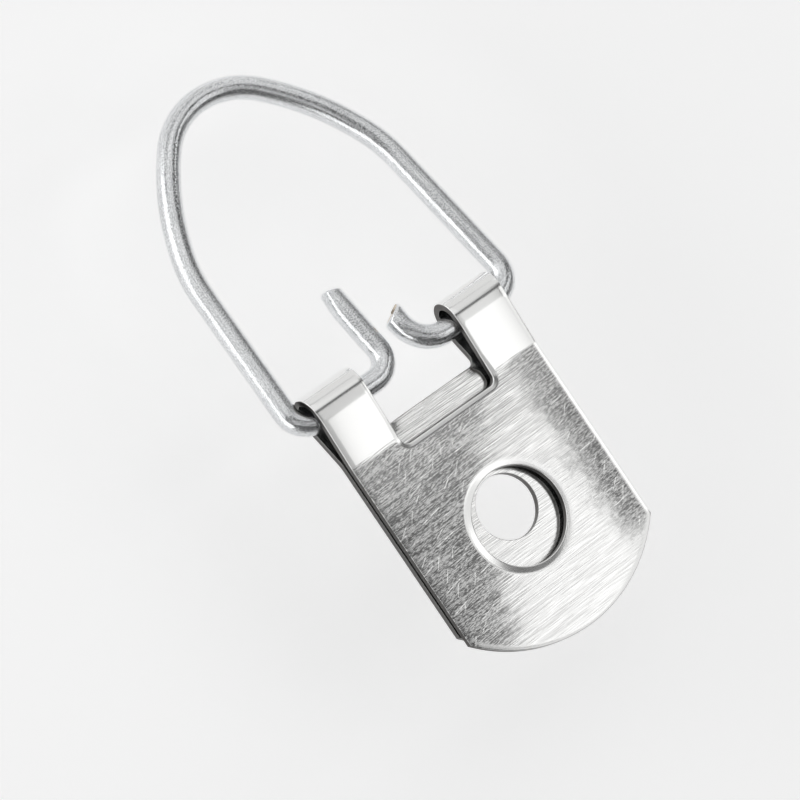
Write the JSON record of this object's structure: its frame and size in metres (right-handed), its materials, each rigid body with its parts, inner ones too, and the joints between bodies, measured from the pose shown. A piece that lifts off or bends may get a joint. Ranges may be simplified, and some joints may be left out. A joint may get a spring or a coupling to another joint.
{
  "type": "d ring picture hanger",
  "caption": "Folded steel strap with a screw hole and rolled ears, holding a bent wire D ring that swings, for hanging a picture frame from a hook, nail or wire.",
  "frame": {"origin": "centre of the screw hole, on the back face that lies against the frame", "axes": "+X across the strap, +Y from the screw hole towards the ring, +Z out of the front leaf, away from the frame that the strap is screwed to"},
  "size_m": [0.0252, 0.0536, 0.007],
  "materials": {
    "plated_sheet": "bright plated sheet steel, finely brushed across its width, with light scratches",
    "plated_wire": "satin plated drawn steel wire with faint streaks along it"
  },
  "bodies": {
    "strap": {"strap": "plated_sheet"},
    "ring": {"d_ring": "plated_wire"}
  },
  "joints": [
    {"name": "ring_swing", "type": "hinge", "parent": "strap", "child": "ring", "pos_m": [0, 0.0144, 0.0004], "axis": [1, 0, 0], "range_deg": [-144, 165]}
  ]
}
